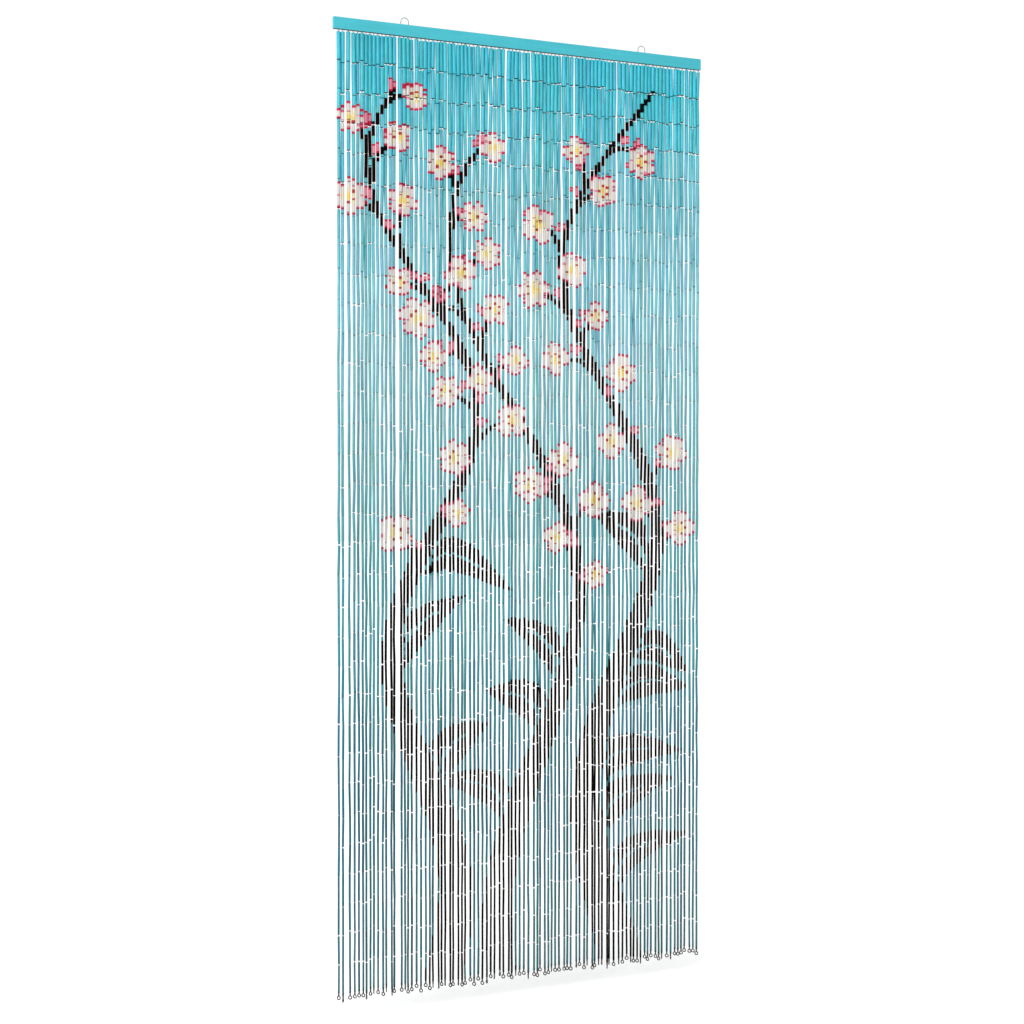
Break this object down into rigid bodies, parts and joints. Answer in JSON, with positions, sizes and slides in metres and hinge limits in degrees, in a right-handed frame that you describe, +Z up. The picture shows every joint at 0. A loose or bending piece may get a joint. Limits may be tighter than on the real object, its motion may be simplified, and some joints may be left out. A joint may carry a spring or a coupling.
{
  "type": "bamboo fly curtain with its rail",
  "caption": "Fly curtain for a doorway: strands of painted bamboo sticks on wire links, hung from a painted wooden rail with wire hanging eyes.",
  "frame": {"origin": "where the two hooks bear: midway between the hanging eyes, under the crown of their arches", "axes": "+X along the rail, +Z up, the painted front faces -Y"},
  "size_m": [0.9, 0.0147, 2.0203],
  "materials": {
    "rail_paint": "satin paint on wood",
    "wire": "dull galvanised wire",
    "painted_bamboo": "satin paint on bamboo, with a painted pattern"
  },
  "bodies": {
    "root": {"rail": "rail_paint", "eye_left": "wire", "eye_right": "wire", "strands": "painted_bamboo"}
  },
  "joints": []
}
